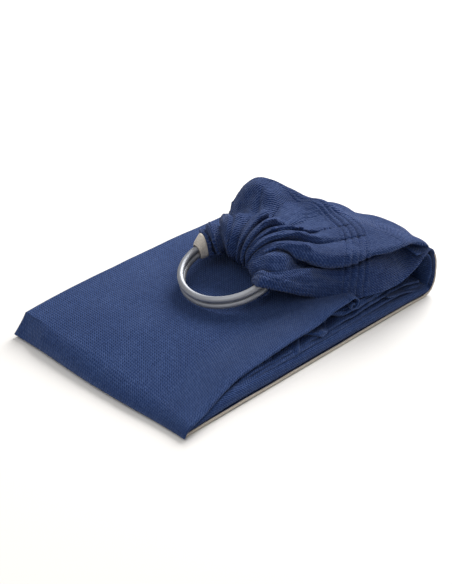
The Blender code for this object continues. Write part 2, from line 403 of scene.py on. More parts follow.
NAVY = cloth_material(
    "navy_cotton_twill",
    dark=(0.002, 0.011, 0.058),
    middle=(0.019, 0.046, 0.149),
    light=(0.074, 0.124, 0.292),
    line_pitch=0.0016,
    tick_length=0.0036,
    relief=0.0006,
)
NAVY_GATHERED = cloth_material(
    "navy_cotton_twill_gathered",
    dark=(0.001, 0.006, 0.042),
    middle=(0.0165, 0.040, 0.138),
    light=(0.105, 0.160, 0.345),
    line_pitch=0.0018,
    tick_length=0.0042,
    relief=0.0010,
)
CREAM = cloth_material(
    "cream_twill_tape",
    dark=(0.34, 0.29, 0.24),
    middle=(0.56, 0.50, 0.43),
    light=(0.72, 0.68, 0.61),
    line_pitch=0.0011,
    tick_length=0.0030,
    relief=0.0004,
)
# The same cream tape, painted lighter for the ring band: painted light, which makes up for the shade that
# the gather casts on the band.
CREAM_BAND_PAINTED_LIGHT = cloth_material(
    "cream_twill_band_painted_light",
    dark=(0.50, 0.44, 0.37),
    middle=(0.76, 0.70, 0.62),
    light=(0.90, 0.86, 0.79),
    line_pitch=0.0011,
    tick_length=0.0030,
    relief=0.0004,
)
ALUMINIUM = ring_material()
THREAD = thread_material()


# ------------------------------------------------------------------ the top length

# The top length's front side, from the left end to the turn: x, and height in mm.
TOP_FRONT_X = (-0.158, -0.145, -0.126, -0.101, -0.064, -0.029, 0.005, 0.027, 0.045, 0.160)
TOP_FRONT_HEIGHT = (8.5, 10.5, 13.5, 18.0, 22.5, 26.0, 27.5, 32.0, 33.5, 33.5)

# Its back side rises from the left end and levels off, in mm.
TOP_BACK_START_X = -152.0
TOP_BACK_START_HEIGHT = 18.0
TOP_BACK_RISE = 9.6
TOP_BACK_RISE_LENGTH = 62.0

# The rolled hem in section, from inside the roll out to the flat cloth, in mm: along X, and up
# from the cloth.
HEM_SECTION = (
    (4.6, -4.8), (3.4, -3.4), (1.4, -3.9), (0.6, -6.0), (2.2, -8.2), (5.4, -8.4),
    (7.9, -6.2), (8.0, -3.0), (5.4, -0.4), (2.0, 0.3), (-1.0, 0.1),
)
HEM_SCALE = 1.40

# Where the hem ends at the front edge, and the width over which it slants away to the turn.
HEM_FRONT_X = 0.0465
HEM_SLANT_WIDTH = 0.050

# How far its front side lies behind the bottom length's, at the left end and past it, and how
# far its back side lies before the bottom length's.
FRONT_INSET_AT_LEFT = -0.0040
FRONT_INSET = 0.0075
BACK_INSET = 0.0008

TOP_COLUMNS = 132
HEM_STEPS = 44
FLAT_STEPS = 150
DROP_STEPS = 24
NOSE_STEPS = 10
UNDER_STEPS = 26

NOSE_RADIUS = 0.0017
UNDER_HEIGHT = 0.0010
UNDER_END_X = 0.090


def top_height(x, y):
    """Height of the top length: lower at the left end, and lower at the front than at the back."""
    back = (y + HALF_WIDTH) / (2.0 * HALF_WIDTH)
    front_z = spline(TOP_FRONT_X, TOP_FRONT_HEIGHT, x)
    from_start = x / MM - TOP_BACK_START_X
    back_z = TOP_BACK_START_HEIGHT + TOP_BACK_RISE * (1.0 - np.exp(-from_start / TOP_BACK_RISE_LENGTH))
    return mix(front_z, back_z, smooth(back * 1.25) * 0.75 + back * 0.25) * MM


def front_edge(x, v):
    """Across the top length: its front side lies a little behind the bottom length's."""
    inset = mix(FRONT_INSET_AT_LEFT, FRONT_INSET, smooth((x + 0.160) / 0.080))
    return mix(-HALF_WIDTH + inset, HALF_WIDTH - BACK_INSET, v)


def hem_rows(v, end_x):
    """The rolled hem, from inside the roll out to the flat cloth."""
    section = np.array(HEM_SECTION, float) * MM * HEM_SCALE
    path = spline(np.linspace(0.0, 1.0, len(section)), section, np.linspace(0.0, 1.0, HEM_STEPS))
    rows = []
    for ahead, up in path[:-1]:
        x = end_x + ahead
        y = front_edge(x, v)
        rows.append(np.stack([x, y, top_height(end_x, y) + up], axis=-1))
    return rows


def flat_rows(v, end_x, roll_x):
    """The panel that shows from above, from the hem to the roll at the left end."""
    rows = []
    for i in range(FLAT_STEPS):
        x = mix(end_x, roll_x, i / (FLAT_STEPS - 1))
        y = front_edge(x, v)
        rows.append(np.stack([x, y, top_height(x, y)], axis=-1))
    return rows


def left_end_rows(v, start, roll_x):
    """Down over the left end, round its nose at the floor and back under the bundle."""
    y = start[:, 1]
    top_z = start[:, 2]
    slope_step = 0.002
    slope = (top_height(start[:, 0] + slope_step, y) - top_z) / slope_step
    reach = roll_x - LEFT_X
    behind_corner = smooth(v * 3.0)
    nose_z = mix(0.0024, 0.0036, behind_corner)
    nose_x = LEFT_X - mix(0.0002, 0.0035, behind_corner) + 0.0008 * np.sin(v * 9.0)
    under_y = np.clip(y, -HALF_WIDTH + 0.004, None)
    at_back_corner = smooth((v - 0.82) / 0.16)
    rows = []
    for i in range(1, DROP_STEPS + 1):
        turn = 0.5 * math.pi * i / DROP_STEPS
        out = math.sin(turn) ** mix(1.15, 2.3, at_back_corner)
        left = math.cos(turn) ** mix(1.05, 2.0, at_back_corner)
        z = nose_z + (top_z - nose_z) * left - slope * reach * out * left
        rows.append(np.stack([mix(roll_x, nose_x, out), y, z], axis=-1))
    for i in range(1, NOSE_STEPS + 1):
        turn = 0.5 * math.pi * i / NOSE_STEPS
        x = nose_x + NOSE_RADIUS * 1.5 * (1.0 - math.cos(turn))
        z = nose_z - NOSE_RADIUS * math.sin(turn)
        rows.append(np.stack([x, mix(y, under_y, smooth(turn / 1.2)), z], axis=-1))
    for i in range(1, UNDER_STEPS + 1):
        x = mix(nose_x + 1.5 * NOSE_RADIUS, UNDER_END_X, i / UNDER_STEPS)
        z = mix(UNDER_HEIGHT, nose_z - NOSE_RADIUS, math.exp(-4.0 * i / UNDER_STEPS))
        rows.append(np.stack([x, under_y, z], axis=-1))
    return rows


def top_cloth():
    """The top length: its rolled hem, the panel, the roll at the left end and the part under it."""
    v = np.linspace(0.0, 1.0, TOP_COLUMNS)
    roll_x = LEFT_X + spline((0.0, 0.12, 0.5, 1.0), (0.0085, 0.0120, 0.0150, 0.0105), v)
    end_x = mix(HEM_FRONT_X, TOP_LENGTH_X - 0.004, smooth((v * 2.0 * HALF_WIDTH) / HEM_SLANT_WIDTH))
    rows = hem_rows(v, end_x) + flat_rows(v, end_x, roll_x)
    rows += left_end_rows(v, rows[-1], roll_x)
    grid = np.array(rows)
    normal = surface_normals(grid)
    wrinkle = roughen(grid, size=0.060, depth=0.0010, seed=1)
    wrinkle = wrinkle + roughen(grid, size=0.023, depth=0.00035, seed=2)
    last_wrinkled = HEM_STEPS + FLAT_STEPS + (DROP_STEPS + NOSE_STEPS) * 0.7
    on_top = smooth((last_wrinkled - np.arange(len(rows))[:, None]) / 20.0)
    grid = grid + normal * (wrinkle * on_top)[..., None]
    made = cloth_mesh("top_cloth", grid, TOP_THICKNESS, flip=True)
    add_piece(made, "bundle", NAVY, ("top_length", "left_fold", "tail_hem"))


# ------------------------------------------------------------------ the bottom length

# The bottom length's thickness, from the left end to the turn.
BOTTOM_X = (-0.154, -0.145, -0.130, -0.110, -0.090, -0.020, 0.040, 0.100, 0.150)
BOTTOM_THICKNESS = (0.0022, 0.0044, 0.0084, 0.0116, 0.0134, 0.0132, 0.0110, 0.0105, 0.0085)
BOTTOM_END_X = 0.1490
LARGEST_ROUNDING = 0.006


def tube_section(side_columns=9, flat_columns=60):
    """Round a flat tube: how far to the side each point is, how deep, and how far the side bulges."""
    across = [mix(-1.0, 1.0, i / flat_columns) for i in range(flat_columns + 1)]
    turns = [math.pi * i / side_columns for i in range(1, side_columns)]
    section = [(side, 0.0, 0.0) for side in across]
    section += [(1.0, 0.5 - 0.5 * math.cos(turn), 0.5 * math.sin(turn)) for turn in turns]
    section += [(-side, 1.0, 0.0) for side in across]
    section += [(-1.0, 0.5 + 0.5 * math.cos(turn), 0.5 * math.sin(turn)) for turn in turns]
    return section


def flat_tube(path, thickness):
    """The grid of a folded length with rounded long sides, along a path in X and Z.

    The path is the outer face's, and the thickness is measured inwards from it.
    """
    tangent = unit(np.gradient(path, axis=0))
    section = tube_section()
    rounding = np.minimum(thickness * 0.5, LARGEST_ROUNDING)
    grid = np.empty((len(path), len(section), 3))
    for j, (side, depth, bulge) in enumerate(section):
        grid[:, j, 0] = path[:, 0] - tangent[:, 1] * thickness * depth
        grid[:, j, 1] = side * (HALF_WIDTH - rounding) + math.copysign(2.0, side) * rounding * bulge
        grid[:, j, 2] = path[:, 1] + tangent[:, 0] * thickness * depth
    return grid


def bottom_cloth():
    """The thick bottom length, with its rounded front side, up to the turn."""
    x = np.linspace(LEFT_X + 0.0035, BOTTOM_END_X, 150)
    base = 0.0012 + 0.0006 * np.sin(x * 40.0)
    path = np.stack([x, base], axis=1)
    grid = flat_tube(path, spline(BOTTOM_X, BOTTOM_THICKNESS, x))
    wrinkle = roughen(grid, size=0.045, depth=0.0007, seed=5)
    side = smooth((np.abs(grid[..., 1]) - 0.085) / 0.012)
    grid[..., 1] += np.sign(grid[..., 1]) * wrinkle * side
    made = closed_tube_mesh("bottom_cloth", grid[:, ::-1])
    add_piece(made, "bundle", NAVY, ("bottom_length",))


# ------------------------------------------------------------------ the lengths between them

PLY_DEPTH = 0.045
PLY_STEPS = 150
LAP_STEPS = 10
FOLD_STEPS = 10
PLY_WEAVE_SHIFT = 0.013

# Where each length's folded front side runs, from left to right, in mm.
LOWER_PLY = (
    (-134, -100, 7), (-118, -100, 10.5), (-60, -100, 14.2), (0, -100, 14.0),
    (50, -99, 13.0), (100, -99, 14), (130, -98, 12.0), (147, -98, 8.5),
)
SECOND_PLY = (
    (-110, -97, 11), (-90, -97, 14.2), (-60, -97, 16.6), (0, -97, 16.0),
    (40, -96, 16.6), (80, -97, 19), (118, -96, 18), (144, -96, 12),
)
CRUMPLED_PLY = (
    (-84, -94, 15.6), (-60, -95, 17.4), (-36, -91, 17.6), (-24, -101, 16.6), (-8, -88, 19.0),
    (8, -101, 17.6), (24, -88, 20), (44, -94, 21.5), (92, -95, 23),
)
UPPER_PLY = (
    (-76, -93, 18.4), (-60, -93, 19.6), (-35, -87, 21.8), (-10, -82, 22.8),
    (20, -84, 23.2), (50, -92, 24.0), (100, -92, 25),
)
# Each back ply: where its left end is, and how high it lies there and further right, in mm.
BACK_PLIES = ((-142, 12.4, 15.0), (-128, 16.4, 18.4), (-120, 19.6, 22.0))


def inner_ply(name, places, seed, crumple, gap=0.0026, replaced=(), at_back=False):
    """A thin length folded along its front side, somewhere in the stack.

    gap is the space inside its fold and crumple the height of its creases, in metres.
    """
    places = np.array(places, float) * MM
    along = np.linspace(places[0, 0], places[-1, 0], PLY_STEPS)
    centre = spline(places[:, 0], places, along)
    rough = roughen(centre, size=0.018, depth=1.0, seed=seed)
    ripple = roughen(centre, size=0.007, depth=1.0, seed=seed + 5)

    def lap(side):
        """One face of the length, from deep in the stack out to the fold."""
        columns = []
        for i in range(LAP_STEPS):
            back = PLY_DEPTH * (1.0 - i / LAP_STEPS) ** 1.3
            near_fold = math.exp(-back / 0.012)
            point = centre.copy()
            point[:, 1] += back + 0.5 * gap
            point[:, 2] += side * gap * 0.5 + crumple * (rough + 0.5 * side * ripple) * near_fold
            columns.append(point)
        return columns

    fold = []
    for i in range(FOLD_STEPS + 1):
        cosine = math.cos(math.pi * i / FOLD_STEPS)
        sine = math.sin(math.pi * i / FOLD_STEPS)
        point = centre.copy()
        point[:, 1] += 0.5 * gap * (1.0 - sine) + 0.6 * crumple * ripple * sine
        point[:, 2] += 0.5 * gap * cosine + crumple * (rough + 0.5 * cosine * ripple)
        fold.append(point)
    grid = np.stack(lap(1.0) + fold + lap(-1.0)[::-1], axis=1)
    if at_back:
        grid[..., 1] *= -1.0
    weave = grid_weave(grid, seed * PLY_WEAVE_SHIFT)
    made = cloth_mesh(name, grid, PLY_THICKNESS, flip=not at_back, weave=weave)
    add_piece(made, "bundle", NAVY, replaced)


def inner_cloth():
    """The lengths between the bottom one and the top one, as they show along the front side."""
    inner_ply("lower_ply", LOWER_PLY, 21, 0.0006, replaced=("inner_length_1",))
    inner_ply("second_ply", SECOND_PLY, 22, 0.0015, replaced=("inner_length_2",))
    inner_ply("crumpled_ply", CRUMPLED_PLY, 23, 0.0042, gap=0.0040, replaced=("inner_length_3",))
    inner_ply("upper_ply", UPPER_PLY, 24, 0.0009, gap=0.0022)
    for number, (left, low, high) in enumerate(BACK_PLIES):
        side = -101 + number
        places = ((left, side, low - 2), (left + 30, side, low), (0, -100, high - 1), (124, side, high))
        inner_ply(f"back_ply_{number + 1}", places, 31 + number, 0.0010, gap=0.0034, at_back=True)


# ------------------------------------------------------------------ the bindings


def tape(name, path, outward, width, thickness, replaced):
    """A narrow folded tape along a path, bulging outward, with the slight waves of its stitching."""
    around = 14
    tangent = unit(np.gradient(path, axis=0))
    up = unit(np.cross(tangent, np.broadcast_to(np.array(outward, float), path.shape)))
    outward = np.cross(up, tangent)
    puff = 1.0 + 0.10 * np.sin(lengths_along(path) / 0.0011)
    width = np.broadcast_to(width, (len(path),))[:, None]
    grid = np.empty((len(path), around, 3))
    for j in range(around):
        cosine, sine = squared_circle(2.0 * math.pi * j / around, 0.8)
        out = sine * thickness * 0.5
        grid[:, j] = path + up * width * cosine * 0.5 + outward * (out * puff)[:, None]
    add_piece(closed_tube_mesh(name, grid), "bundle", CREAM, (replaced,))


def inner_binding():
    """The cream tape along the tail's rail, folded away between the lengths near the back."""
    low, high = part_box("inner_rail_binding")
    centre = (np.array(low) + np.array(high)) / 2.0
    x = np.linspace(low[0], high[0], 200)
    path = np.stack([x, np.full_like(x, centre[1]), np.full_like(x, centre[2])], axis=1)
    path[:, 1] += roughen(path, size=0.040, depth=0.0008, seed=42)
    width = high[1] - low[1] - 0.002
    thickness = high[2] - low[2]
    tape("inner_binding", path, (0.0, 0.0, 1.0), width, thickness, "inner_rail_binding")


# The front binding in X and Z, along the floor and up round the turn's foot, in mm.
FRONT_BINDING = (
    (-152.5, 1.5), (-110, 2.2), (-60, 1.9), (0, 1.8), (60, 1.9), (120, 1.7),
    (143, 1.6), (151.0, 4.4), (155.6, 12.0), (156.3, 24.0), (155.0, 34.0), (152.6, 40.0),
)


def front_binding():
    """The cream tape along the bottom length's front rail, from the left end round the turn's foot."""
    places = np.array(FRONT_BINDING, float) * MM
    knots = lengths_along(places)
    t = np.linspace(0.0, knots[-1], 700)
    path = spline(knots, places, t)
    y = np.full(len(t), -HALF_WIDTH - 0.0003)
    path = np.stack([path[:, 0], y, path[:, 1]], axis=1)
    path[:, 2] += roughen(path, size=0.030, depth=0.0004, seed=41)
    width = mix(0.0026, 0.0012, smooth((t / t[-1] - 0.86) / 0.05))
    tape("front_binding", path, (0.0, -1.0, 0.0), width, 0.0013, "front_rail_binding")


# ------------------------------------------------------------------ the turn, the shoulder and the gather
#
# These are one length of cloth. It leaves the bundle at the right end, turns back over it, is
# pleated, stitched across, and wraps both rings. Its rows run from the turn to the rings, and
# its columns run from the back edge of the cloth to its front rail. All sizes are in mm.

COLUMN_PLACES = (0.0, 0.12, 0.225, 0.30, 0.40, 0.50, 0.60, 0.68, 0.735, 0.79, 0.88, 1.0)

# The turn at the right end: how high it stands from front to back, and where its top's columns are.
TURN_Y = (-103, -90, -74, -56, -40, -20, 0, 20, 41, 57, 80, 103)
TURN_HEIGHT = (48, 52, 56, 58, 57, 53, 54, 50, 46, 42, 36, 30)
TURN_RIM_Y = (103, 84, 64, 46, 16, -18, -60, -96, -101, -102, -102.5, -103)

SHOULDER_ROWS = (
    (
        (130, 101, 29), (130, 84, 38), (131, 64, 47), (131, 47, 53),
        (131, 18, 58), (131, -16, 60), (131, -50, 62), (131, -95, 57.5),
        (130, -80, 54.0), (129, -82, 49.5), (127, -92, 44), (123, -105, 39.5),
    ),
    (
        (112, 98, 29), (112, 87, 42), (112, 72, 54), (112, 50, 67),
        (112, 14, 67), (112, -34, 66), (112, -68, 65), (110, -97, 62),
        (108, -72, 55.5), (107, -83, 52.5), (105, -97, 44), (103, -104, 30.5),
    ),
    (
        (86, 88, 29), (86, 77, 38), (84, 73, 59), (88, 52, 77),
        (88, 20, 70), (87, -24, 66), (86, -58, 65.5), (83, -89, 61),
        (82, -72, 54), (80, -86, 54), (78, -93, 42), (76, -98, 28.5),
    ),
    (
        (55, 74, 30), (51, 64, 40), (52, 54, 56), (60, 34, 67),
        (60, 12, 67), (60, -16, 64.5), (58, -42, 64), (54, -70, 58.5),
        (50, -49, 48), (48, -62, 50), (45, -72, 39), (43, -78, 27.5),
    ),
)

# The cloth is lofted through rows numbered from 0: five up round the turn, the four above, and
# seven over the rings and back below them. The turn and the gather meet at MEETING_ROW.
FIRST_SHOULDER_ROW = 5
MEETING_ROW = 6
LAST_SHOULDER_ROW = 8
RING_ROW = 9

# How far round the rings each place across the cloth sits: the widest pleats at the shoulder
# are pinched the most.
RING_PLACES = (0.0, 0.06, 0.115, 0.165, 0.235, 0.335, 0.405, 0.475, 0.54, 0.61, 0.70, 0.79, 1.0)
RING_ANGLES = (76, 67, 58, 50, 35, 20, 9, -2, -13, -26, -41, -74, -98)

# The wrap at some angles round the rings: how far in from the wire it reaches, and its top.
WRAP_ANGLES = (-98, -80, -65, -50, -30, -10, 8, 30, 50, 76)
WRAP_INWARD = (6.0, 10.0, 14.5, 17.5, 19.0, 19.5, 19.0, 14.5, 9.0, 5.0)
WRAP_TOP = (7.4, 6.8, 6.6, 7.4, 9.2, 10.0, 10.4, 10.0, 8.8, 8.2)

# Each pleat: where it ends across the cloth; its height in mm at the stitched rows, halfway,
# near the rings, on them and inside them; how far its crest leans forward; and how round it is,
# from 0.5 for a full round roll to 1 for an open wave.
PLEATS = (
    (0.060, 0.5, 2.5, 5.0, 6.5, 4.0, 0.3, 0.75),
    (0.115, 0.5, 2.5, 5.5, 8.0, 5.5, 0.2, 0.90),
    (0.165, 0.6, 2.0, 6.0, 9.0, 6.0, -0.5, 0.95),
    (0.235, 0.3, 1.5, 6.5, 9.5, 6.0, 0.4, 0.65),
    (0.335, 0.5, 1.5, 5.0, 7.0, 5.5, -0.2, 0.70),
    (0.405, 2.5, 6.5, 8.5, 8.5, 6.0, 0.6, 0.65),
    (0.475, 1.2, 6.5, 9.0, 9.0, 6.5, 0.8, 0.75),
    (0.540, 0.8, 7.0, 10.0, 8.0, 6.0, 1.0, 0.85),
    (0.610, 2.0, 6.0, 8.0, 7.5, 6.0, 0.6, 0.75),
    (0.700, 2.0, 7.0, 9.5, 6.0, 5.0, 0.9, 0.62),
    (0.790, 0.0, 0.0, 1.5, 7.0, 7.0, -0.2, 0.60),
    (1.000, 1.2, 4.2, 6.5, 5.5, 4.0, -0.5, 0.52),
)
PLEAT_COLUMNS = 28
PLEAT_WEAVE_SHIFT = 0.4

# The front roll is the one pleat that already stands up where the turn ends.
FRONT_ROLL = 9
FRONT_ROLL_AT_TURN = 2.4

ROWS_TURN = 60
ROWS_SHOULDER = 150
ROWS_WRAP = 70

# Small folds along the cloth: noise that is finer across it than along it.
STRANDS_ACROSS = 0.95
STRANDS_ALONG = 1.6

# Local swellings and dents: centre and radius in mm, then height in mm.
SWELLS = (
    ((96, 42, 80), 22, 5.5),
    ((77, 50, 80), 16, 5.0),
    ((64, 42, 80), 6, -6.5),
    ((72, 60, 70), 17, 3.0),
    ((103, 15, 76), 7, -4.5),
    ((93, 12, 76), 7, -3.5),
    ((148, -82, 56), 8, -2.0),
    ((116, -100, 50), 14, -2.5),
    ((118, -70, 62), 20, 1.5),
    ((109, -3, 71), 16, 6.5),
    ((58, 54, 72), 10, 3.5),
    ((44, 59, 58), 10, 3.5),
    ((74, 30, 74), 15, 5.0),
)

# The sewing across the shoulder, in metres: rows about the rings, and stitches along each row.
STITCH_ROWS = 4
STITCH_FIRST_RADIUS = 0.0970
STITCH_SPACING = 0.0055
STITCH_FLATTENING = 0.91
TUCK_HEIGHT = 0.0019
TUCK_FADE = 0.008
STITCH_PITCH = 0.0034
STITCH_LENGTH = 0.0028
STITCH_STAGGER = 0.0012
STITCH_RISE = 0.00042
STITCH_SINK = 0.00012
THREAD_RADIUS = 0.00034
THREAD_SIDES = 6
THREAD_STEPS = 6


def turn_height(y_mm):
    """How high the turn at the right end stands, in mm: it sinks towards the back."""
    return spline(TURN_Y, TURN_HEIGHT, y_mm)


def turn_lining():
    """The inner layer of the turn at the right end, a few millimetres inside the outer one."""
    v = np.linspace(0.0, 1.0, 110)
    y = mix(-HALF_WIDTH + 0.0022, HALF_WIDTH - 0.003, v) / MM
    far = turn_height(y)
    rows = np.array(
        [
            row_at(92.0, y, 19.0),
            row_at(120.0, y, 14.0),
            row_at(140.0, y, 8.0),
            row_at(149.0, y, 9.5),
            row_at(152.4, y, far * 0.42),
            row_at(150.0, y, far * 0.74),
            row_at(142.0, y, far * 0.90),
            row_at(128.0, y, far * 0.96),
        ]
    )
    knots = lengths_along(rows)
    grid = loft(rows, knots, np.linspace(0.0, knots[-1], 90))
    ragged_edge = np.exp(-v / 0.02)[None, :]
    grid[..., 1] += roughen(grid, size=0.009, depth=0.0012, seed=31) * ragged_edge
    grid = grid + surface_normals(grid) * roughen(grid, size=0.030, depth=0.0009, seed=32)[..., None]
    made = cloth_mesh("turn_lining", grid, LINING_THICKNESS)
    add_piece(made, "bundle", NAVY, ("right_fold_inner_ply",))


def ring_point(angle, outward, height):
    """A point by the rings: its angle round them, and how far out from the wire and up it is, in mm."""
    turn = np.radians(angle)
    radial = np.cos(turn)[..., None] * np.array(RING_OUT) + np.sin(turn)[..., None] * np.array(RING_SIDE)
    reach = RING_MIDDLE_RADIUS + outward[..., None] * MM
    return np.array(RING_CENTRE) + radial * reach + np.array(RING_AXIS) * (height[..., None] * MM)


def wrap_rows(s):
    """The rows that pass over the rings, down inside them and back below."""
    angle = spline(RING_PLACES, RING_ANGLES, s)
    inward = spline(WRAP_ANGLES, WRAP_INWARD, angle)
    top = spline(WRAP_ANGLES, WRAP_TOP, angle)
    under = 8.0 + 1.2 * np.cos(np.radians(angle)).clip(0.0, 1.0)
    clear_of_ring = smooth((angle + 75.0) / 45.0)
    places = (
        (5.0 + 0.0 * s, top),
        (-0.30 * inward, top),
        (-0.85 * inward, top * 0.50),
        (-1.00 * inward, -under * 0.25),
        (-0.70 * inward, -under * 0.85),
        (0.05 * inward, -under),
        ((0.55 * inward + 3.0) * clear_of_ring, -under * 0.95),
    )
    return [ring_point(angle, out, up) for out, up in places]


def cloth_columns():
    """The columns across the cloth, closer together in the valleys between the pleats.

    For each it gives the place across the cloth, how far over its pleat it is, and which pleat.
    """
    edges = [0.0] + [pleat[0] for pleat in PLEATS]
    place, arch, which = [], [], []
    for i, (low, high) in enumerate(zip(edges[:-1], edges[1:])):
        is_last = i == len(PLEATS) - 1
        for k in range(PLEAT_COLUMNS + is_last):
            t = k / PLEAT_COLUMNS
            place.append(mix(low, high, 0.5 - 0.5 * math.cos(math.pi * t)))
            arch.append(t)
            which.append(i)
    return np.array(place), np.array(arch), np.array(which)


def control_rows(s):
    """The rows that the cloth is lofted through, each at the places s across it."""
    y = 103.0 - 206.0 * s
    rim_y = spline(COLUMN_PLACES, TURN_RIM_Y, s)
    halfway_y = mix(y, rim_y, 0.5)
    rows = [
        row_at(142.0, y, 1.0),
        row_at(151.0, y, 3.5),
        row_at(156.6, y, turn_height(y) * 0.36),
        row_at(155.3, halfway_y, turn_height(halfway_y) * 0.74),
        row_at(147.0, rim_y, turn_height(rim_y)),
    ]
    for row in SHOULDER_ROWS:
        rows.append(spline(COLUMN_PLACES, np.array(row, float) * MM, s))
    return np.array(rows + wrap_rows(s))


def places_along(knots):
    """Where the grid's rows are along the cloth: some up to the meeting row, some on to the rings."""
    turn = np.linspace(knots[0], knots[MEETING_ROW], ROWS_TURN, endpoint=False)
    shoulder = np.linspace(knots[MEETING_ROW], knots[RING_ROW], ROWS_SHOULDER, endpoint=False)
    wrap = np.linspace(knots[RING_ROW], knots[-1], ROWS_WRAP)
    return np.concatenate([turn, shoulder, wrap])


def pleat_lift(knots, along, s, arch, which):
    """How far the pleats stand off the loft, and how far forward they lean, at each point."""
    stations = (
        knots[FIRST_SHOULDER_ROW - 2],
        knots[FIRST_SHOULDER_ROW - 1],
        knots[FIRST_SHOULDER_ROW],
        knots[LAST_SHOULDER_ROW - 1],
        knots[LAST_SHOULDER_ROW],
        mix(knots[LAST_SHOULDER_ROW], knots[RING_ROW], 0.5),
        knots[RING_ROW],
        mix(knots[RING_ROW], knots[-1], 0.5),
        knots[-1],
    )
    height = np.empty((len(along), len(s)))
    lean = np.empty(len(s))
    roundness = np.empty(len(s))
    for i, pleat in enumerate(PLEATS):
        heights = pleat[1:6]
        at_turn = FRONT_ROLL_AT_TURN if i == FRONT_ROLL else 0.0
        stood = np.array([0.0, 0.5 * at_turn, at_turn, *heights, heights[-1] * 0.6])
        height[:, which == i] = np.maximum(spline(stations, stood, along), 0.0)[:, None]
        lean[which == i] = pleat[6]
        roundness[which == i] = pleat[7]
    sine = np.sin(math.pi * arch)
    standing = smooth((height - 2.0) / 6.0)
    return height * mix(sine**2, sine**roundness, standing) * MM, lean


def stitch_reach(grid):
    """Distance from the rings' centre, shortened along X: the sewn rows are a little flatter than arcs."""
    along = (grid[..., 0] - RING_CENTRE[0]) * STITCH_FLATTENING
    return np.hypot(along, grid[..., 1] - RING_CENTRE[1])


def stitch_tucks(grid, knots, along):
    """How far the cloth puffs up between the rows of stitching, and is pulled down along them."""
    row = (stitch_reach(grid) - STITCH_FIRST_RADIUS) / STITCH_SPACING
    among_rows = smooth((row + 0.8) * 2.0) * smooth((STITCH_ROWS - 0.2 - row) * 2.0)
    past_turn = smooth((along - knots[FIRST_SHOULDER_ROW]) / TUCK_FADE)
    in_shoulder = past_turn * smooth((knots[LAST_SHOULDER_ROW] - along) / TUCK_FADE)
    ridge = np.abs(np.sin(math.pi * row)) ** 0.8 - 0.62
    facing_up = 0.85 + 0.15 * smooth((surface_normals(grid)[..., 2] + 0.1) / 0.6)
    return TUCK_HEIGHT * ridge * among_rows * facing_up * in_shoulder[:, None]


def main_cloth():
    """The grid of the whole length: a loft, then its pleats, small folds, swellings and tucks."""
    s, arch, which = cloth_columns()
    rows = control_rows(s)
    knots = lengths_along(rows)
    along = places_along(knots)
    grid = loft(rows, knots, along)
    normal = surface_normals(grid)
    across = unit(np.gradient(grid, axis=1))
    lift, lean = pleat_lift(knots, along, s, arch, which)
    lift = lift * (1.0 + roughen(grid, size=0.022, depth=0.55, seed=9))
    strand_places = (s[None, :] * STRANDS_ACROSS, along[:, None] * STRANDS_ALONG, 0.0)
    strands = np.stack(np.broadcast_arrays(*strand_places), axis=-1)
    to_rings = knots[RING_ROW] - knots[FIRST_SHOULDER_ROW]
    nearer = smooth((along - knots[FIRST_SHOULDER_ROW]) / to_rings)[:, None]
    lift = lift + roughen(strands, size=0.030, depth=0.0022, seed=13) * nearer
    lift = lift + roughen(strands, size=0.012, depth=0.0009, seed=14) * nearer
    grid = grid + normal * lift[..., None] + across * (lift * lean[None, :])[..., None]
    for centre, radius, rise in SWELLS:
        away = np.linalg.norm(grid - np.array(centre) * MM, axis=-1)
        swell = rise * MM * np.exp(-((away / (radius * MM)) ** 2))
        grid = grid + normal * swell[..., None]
    return grid + normal * stitch_tucks(grid, knots, along)[..., None]


def pleat_weave(grid):
    """The weave's own coordinates on the pleated cloth: true on each pleat, broken in its valleys."""
    which = cloth_columns()[2]
    down = np.linalg.norm(np.diff(grid, axis=0), axis=-1)
    over = np.linalg.norm(np.diff(grid, axis=1), axis=-1)
    down = np.concatenate([np.zeros((1, grid.shape[1])), np.cumsum(down, axis=0)])
    over = np.concatenate([np.zeros((grid.shape[0], 1)), np.cumsum(over, axis=1)], axis=1)
    weave = np.empty(grid.shape[:2] + (2,))
    for i, pleat in enumerate(PLEATS):
        columns = np.nonzero(which == i)[0]
        crest = columns[len(columns) // 2]
        from_crest = over[:, columns] - over[:, crest][:, None]
        weave[:, columns, 0] = down[:, columns].mean(axis=1)[:, None]
        weave[:, columns, 1] = from_crest + pleat[0] * PLEAT_WEAVE_SHIFT
    return weave


def sewing_line(grid, radius):
    """The points, and the normals there, where the cloth is at a given reach from the rings."""
    reach = stitch_reach(grid)
    normal = surface_normals(grid)
    path, lifts = [], []
    for j in range(2, grid.shape[1] - 2):
        crossing = np.nonzero((reach[:-1, j] > radius) & (reach[1:, j] <= radius))[0]
        if len(crossing) == 0:
            continue
        i = crossing[0]
        t = (reach[i, j] - radius) / (reach[i, j] - reach[i + 1, j])
        path.append(mix(grid[i, j], grid[i + 1, j], t))
        lifts.append(normal[i, j])
    return np.array(path), np.array(lifts)


def vector_at(length, vectors, at):
    """The vector at a distance along a line, between those at its points."""
    return np.array([np.interp(at, length, vectors[:, axis]) for axis in range(3)])


def stitch_points(length, path, lifts, begin):
    """The points of one stitch: a short thread that rises from the cloth and sinks in again."""
    points = []
    for step in range(THREAD_STEPS + 1):
        t = step / THREAD_STEPS
        at = begin + STITCH_LENGTH * t
        centre = vector_at(length, path, at)
        up = unit(vector_at(length, lifts, at))
        side = unit(np.cross(up, vector_at(length, path, at + 0.0004) - centre))
        arc = math.sin(math.pi * t)
        centre = centre + up * (STITCH_RISE * arc - STITCH_SINK)
        radius = THREAD_RADIUS * (0.35 + 0.65 * arc**0.5)
        for q in range(THREAD_SIDES):
            turn = 2.0 * math.pi * q / THREAD_SIDES
            points.append(centre + side * (radius * math.cos(turn)) + up * (radius * math.sin(turn)))
    return points


